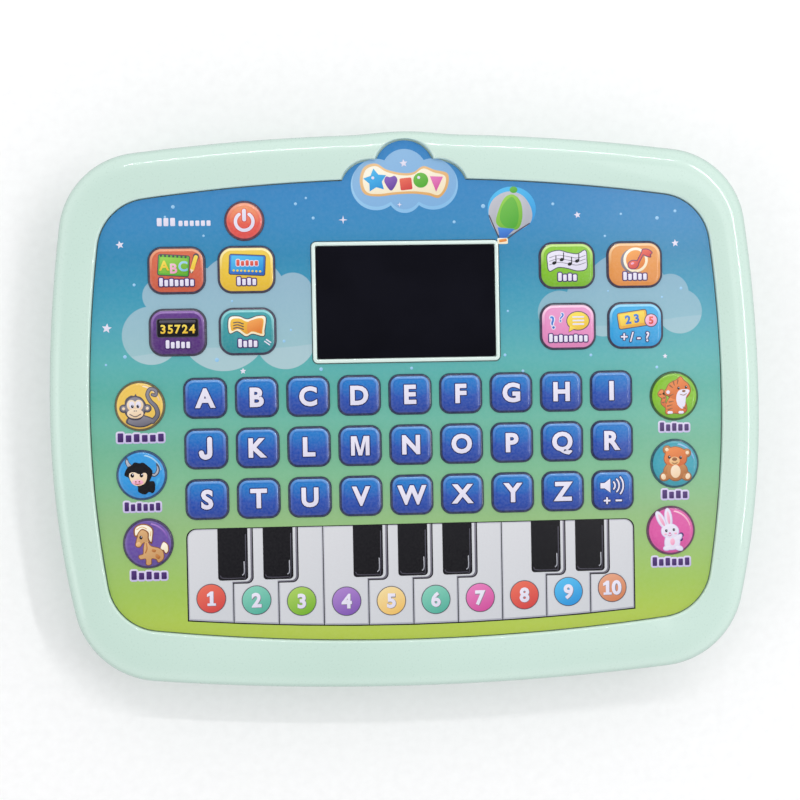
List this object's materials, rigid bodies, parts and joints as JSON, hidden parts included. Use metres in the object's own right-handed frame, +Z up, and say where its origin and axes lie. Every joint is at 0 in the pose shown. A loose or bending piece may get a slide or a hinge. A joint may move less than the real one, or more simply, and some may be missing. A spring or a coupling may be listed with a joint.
{
  "type": "kids toy tablet",
  "caption": "Toy learning tablet with a moulded case, a printed sheet of raised letter, mode and animal keys, a display window and a battery bay.",
  "frame": {"origin": "on the flat back, under the middle of the case's outline", "axes": "+X to the right across the keys, +Y towards the top edge with the emblem, +Z up out of the key sheet"},
  "size_m": [0.24, 0.1874, 0.026],
  "materials": {
    "case_mint": "moulded, glossy, pale mint",
    "sheet_print": "printed plastic sheet, blue at the top to yellow-green at the bottom, glossy",
    "spacer_white": "white spacer film",
    "membrane_film": "clear film with printed silver tracks",
    "display_black": "smoked black window, glossy",
    "led_board": "black board with a matrix of small lamps",
    "board_green": "green circuit board with solder mask",
    "chip_black": "black resin and plastic parts",
    "speaker_steel": "stamped steel",
    "cone_black": "black cone",
    "lead_red": "soft insulated wire",
    "contact_steel": "nickel-plated spring steel",
    "cell_jacket": "printed jacket over a steel can",
    "screw_steel": "zinc-plated",
    "key_blue": "printed blue, glossy",
    "key_red": "printed red, glossy",
    "key_yellow": "printed yellow, glossy",
    "key_violet": "printed violet, glossy",
    "key_teal": "printed teal, glossy",
    "key_green": "printed green, glossy",
    "key_orange": "printed orange, glossy",
    "key_pink": "printed pink, glossy",
    "key_azure": "printed azure, glossy"
  },
  "bodies": {
    "case": {"front_shell": "case_mint", "rear_shell": "case_mint", "overlay_sheet": "sheet_print", "spacer_sheet": "spacer_white", "membrane_switch": "membrane_film", "display_lens": "display_black", "led_module": "led_board", "main_board": "board_green", "board_parts": "chip_black", "speaker_frame": "speaker_steel", "speaker_cone": "cone_black", "lead_wires": "lead_red", "battery_contacts": "contact_steel", "batteries": "cell_jacket", "case_screws": "screw_steel", "board_screws": "screw_steel"},
    "battery_door": {"battery_door": "case_mint", "door_screw": "screw_steel"},
    "key_a": {"key_a": "key_blue"},
    "key_b": {"key_b": "key_blue"},
    "key_c": {"key_c": "key_blue"},
    "key_d": {"key_d": "key_blue"},
    "key_e": {"key_e": "key_blue"},
    "key_f": {"key_f": "key_blue"},
    "key_g": {"key_g": "key_blue"},
    "key_h": {"key_h": "key_blue"},
    "key_i": {"key_i": "key_blue"},
    "key_j": {"key_j": "key_blue"},
    "key_k": {"key_k": "key_blue"},
    "key_l": {"key_l": "key_blue"},
    "key_m": {"key_m": "key_blue"},
    "key_n": {"key_n": "key_blue"},
    "key_o": {"key_o": "key_blue"},
    "key_p": {"key_p": "key_blue"},
    "key_q": {"key_q": "key_blue"},
    "key_r": {"key_r": "key_blue"},
    "key_s": {"key_s": "key_blue"},
    "key_t": {"key_t": "key_blue"},
    "key_u": {"key_u": "key_blue"},
    "key_v": {"key_v": "key_blue"},
    "key_w": {"key_w": "key_blue"},
    "key_x": {"key_x": "key_blue"},
    "key_y": {"key_y": "key_blue"},
    "key_z": {"key_z": "key_blue"},
    "key_volume": {"key_volume": "key_blue"},
    "key_letters": {"key_letters": "key_red"},
    "key_words": {"key_words": "key_yellow"},
    "key_spell": {"key_spell": "key_violet"},
    "key_read": {"key_read": "key_teal"},
    "key_song": {"key_song": "key_green"},
    "key_music": {"key_music": "key_orange"},
    "key_question": {"key_question": "key_pink"},
    "key_maths": {"key_maths": "key_azure"},
    "key_power": {"key_power": "key_red"},
    "key_monkey": {"key_monkey": "key_yellow"},
    "key_cattle": {"key_cattle": "key_azure"},
    "key_horse": {"key_horse": "key_violet"},
    "key_tiger": {"key_tiger": "key_green"},
    "key_bear": {"key_bear": "key_teal"},
    "key_rabbit": {"key_rabbit": "key_pink"}
  },
  "joints": [
    {"name": "battery_door_swing", "type": "hinge", "parent": "case", "child": "battery_door", "pos_m": [0, -0.0713, 0], "axis": [-1, 0, 0], "range_deg": [0, 75]},
    {"name": "key_power_press", "type": "slide", "parent": "case", "child": "key_power", "axis": [0, 0, -1], "range_m": [0, 0.0005], "stiffness_N_per_m": 400, "springref_m": -0.0003},
    {"name": "key_a_press", "type": "slide", "parent": "case", "child": "key_a", "axis": [0, 0, -1], "range_m": [0, 0.0005], "stiffness_N_per_m": 400, "springref_m": -0.0003},
    {"name": "key_volume_press", "type": "slide", "parent": "case", "child": "key_volume", "axis": [0, 0, -1], "range_m": [0, 0.0005], "stiffness_N_per_m": 400, "springref_m": -0.0003},
    {"name": "key_letters_press", "type": "slide", "parent": "case", "child": "key_letters", "axis": [0, 0, -1], "range_m": [0, 0.0005], "stiffness_N_per_m": 400, "springref_m": -0.0003},
    {"name": "key_words_press", "type": "slide", "parent": "case", "child": "key_words", "axis": [0, 0, -1], "range_m": [0, 0.0005], "stiffness_N_per_m": 400, "springref_m": -0.0003},
    {"name": "key_spell_press", "type": "slide", "parent": "case", "child": "key_spell", "axis": [0, 0, -1], "range_m": [0, 0.0005], "stiffness_N_per_m": 400, "springref_m": -0.0003},
    {"name": "key_read_press", "type": "slide", "parent": "case", "child": "key_read", "axis": [0, 0, -1], "range_m": [0, 0.0005], "stiffness_N_per_m": 400, "springref_m": -0.0003},
    {"name": "key_song_press", "type": "slide", "parent": "case", "child": "key_song", "axis": [0, 0, -1], "range_m": [0, 0.0005], "stiffness_N_per_m": 400, "springref_m": -0.0003},
    {"name": "key_music_press", "type": "slide", "parent": "case", "child": "key_music", "axis": [0, 0, -1], "range_m": [0, 0.0005], "stiffness_N_per_m": 400, "springref_m": -0.0003},
    {"name": "key_question_press", "type": "slide", "parent": "case", "child": "key_question", "axis": [0, 0, -1], "range_m": [0, 0.0005], "stiffness_N_per_m": 400, "springref_m": -0.0003},
    {"name": "key_maths_press", "type": "slide", "parent": "case", "child": "key_maths", "axis": [0, 0, -1], "range_m": [0, 0.0005], "stiffness_N_per_m": 400, "springref_m": -0.0003},
    {"name": "key_monkey_press", "type": "slide", "parent": "case", "child": "key_monkey", "axis": [0, 0, -1], "range_m": [0, 0.0005], "stiffness_N_per_m": 400, "springref_m": -0.0003},
    {"name": "key_cattle_press", "type": "slide", "parent": "case", "child": "key_cattle", "axis": [0, 0, -1], "range_m": [0, 0.0005], "stiffness_N_per_m": 400, "springref_m": -0.0003},
    {"name": "key_horse_press", "type": "slide", "parent": "case", "child": "key_horse", "axis": [0, 0, -1], "range_m": [0, 0.0005], "stiffness_N_per_m": 400, "springref_m": -0.0003},
    {"name": "key_tiger_press", "type": "slide", "parent": "case", "child": "key_tiger", "axis": [0, 0, -1], "range_m": [0, 0.0005], "stiffness_N_per_m": 400, "springref_m": -0.0003},
    {"name": "key_bear_press", "type": "slide", "parent": "case", "child": "key_bear", "axis": [0, 0, -1], "range_m": [0, 0.0005], "stiffness_N_per_m": 400, "springref_m": -0.0003},
    {"name": "key_rabbit_press", "type": "slide", "parent": "case", "child": "key_rabbit", "axis": [0, 0, -1], "range_m": [0, 0.0005], "stiffness_N_per_m": 400, "springref_m": -0.0003},
    {"name": "key_b_press", "type": "slide", "parent": "case", "child": "key_b", "axis": [0, 0, -1], "range_m": [0, 0.0005], "stiffness_N_per_m": 400, "springref_m": -0.0003},
    {"name": "key_c_press", "type": "slide", "parent": "case", "child": "key_c", "axis": [0, 0, -1], "range_m": [0, 0.0005], "stiffness_N_per_m": 400, "springref_m": -0.0003},
    {"name": "key_d_press", "type": "slide", "parent": "case", "child": "key_d", "axis": [0, 0, -1], "range_m": [0, 0.0005], "stiffness_N_per_m": 400, "springref_m": -0.0003},
    {"name": "key_e_press", "type": "slide", "parent": "case", "child": "key_e", "axis": [0, 0, -1], "range_m": [0, 0.0005], "stiffness_N_per_m": 400, "springref_m": -0.0003},
    {"name": "key_f_press", "type": "slide", "parent": "case", "child": "key_f", "axis": [0, 0, -1], "range_m": [0, 0.0005], "stiffness_N_per_m": 400, "springref_m": -0.0003},
    {"name": "key_g_press", "type": "slide", "parent": "case", "child": "key_g", "axis": [0, 0, -1], "range_m": [0, 0.0005], "stiffness_N_per_m": 400, "springref_m": -0.0003},
    {"name": "key_h_press", "type": "slide", "parent": "case", "child": "key_h", "axis": [0, 0, -1], "range_m": [0, 0.0005], "stiffness_N_per_m": 400, "springref_m": -0.0003},
    {"name": "key_i_press", "type": "slide", "parent": "case", "child": "key_i", "axis": [0, 0, -1], "range_m": [0, 0.0005], "stiffness_N_per_m": 400, "springref_m": -0.0003},
    {"name": "key_j_press", "type": "slide", "parent": "case", "child": "key_j", "axis": [0, 0, -1], "range_m": [0, 0.0005], "stiffness_N_per_m": 400, "springref_m": -0.0003},
    {"name": "key_k_press", "type": "slide", "parent": "case", "child": "key_k", "axis": [0, 0, -1], "range_m": [0, 0.0005], "stiffness_N_per_m": 400, "springref_m": -0.0003},
    {"name": "key_l_press", "type": "slide", "parent": "case", "child": "key_l", "axis": [0, 0, -1], "range_m": [0, 0.0005], "stiffness_N_per_m": 400, "springref_m": -0.0003},
    {"name": "key_m_press", "type": "slide", "parent": "case", "child": "key_m", "axis": [0, 0, -1], "range_m": [0, 0.0005], "stiffness_N_per_m": 400, "springref_m": -0.0003},
    {"name": "key_n_press", "type": "slide", "parent": "case", "child": "key_n", "axis": [0, 0, -1], "range_m": [0, 0.0005], "stiffness_N_per_m": 400, "springref_m": -0.0003},
    {"name": "key_o_press", "type": "slide", "parent": "case", "child": "key_o", "axis": [0, 0, -1], "range_m": [0, 0.0005], "stiffness_N_per_m": 400, "springref_m": -0.0003},
    {"name": "key_p_press", "type": "slide", "parent": "case", "child": "key_p", "axis": [0, 0, -1], "range_m": [0, 0.0005], "stiffness_N_per_m": 400, "springref_m": -0.0003},
    {"name": "key_q_press", "type": "slide", "parent": "case", "child": "key_q", "axis": [0, 0, -1], "range_m": [0, 0.0005], "stiffness_N_per_m": 400, "springref_m": -0.0003},
    {"name": "key_r_press", "type": "slide", "parent": "case", "child": "key_r", "axis": [0, 0, -1], "range_m": [0, 0.0005], "stiffness_N_per_m": 400, "springref_m": -0.0003},
    {"name": "key_s_press", "type": "slide", "parent": "case", "child": "key_s", "axis": [0, 0, -1], "range_m": [0, 0.0005], "stiffness_N_per_m": 400, "springref_m": -0.0003},
    {"name": "key_t_press", "type": "slide", "parent": "case", "child": "key_t", "axis": [0, 0, -1], "range_m": [0, 0.0005], "stiffness_N_per_m": 400, "springref_m": -0.0003},
    {"name": "key_u_press", "type": "slide", "parent": "case", "child": "key_u", "axis": [0, 0, -1], "range_m": [0, 0.0005], "stiffness_N_per_m": 400, "springref_m": -0.0003},
    {"name": "key_v_press", "type": "slide", "parent": "case", "child": "key_v", "axis": [0, 0, -1], "range_m": [0, 0.0005], "stiffness_N_per_m": 400, "springref_m": -0.0003},
    {"name": "key_w_press", "type": "slide", "parent": "case", "child": "key_w", "axis": [0, 0, -1], "range_m": [0, 0.0005], "stiffness_N_per_m": 400, "springref_m": -0.0003},
    {"name": "key_x_press", "type": "slide", "parent": "case", "child": "key_x", "axis": [0, 0, -1], "range_m": [0, 0.0005], "stiffness_N_per_m": 400, "springref_m": -0.0003},
    {"name": "key_y_press", "type": "slide", "parent": "case", "child": "key_y", "axis": [0, 0, -1], "range_m": [0, 0.0005], "stiffness_N_per_m": 400, "springref_m": -0.0003},
    {"name": "key_z_press", "type": "slide", "parent": "case", "child": "key_z", "axis": [0, 0, -1], "range_m": [0, 0.0005], "stiffness_N_per_m": 400, "springref_m": -0.0003}
  ]
}
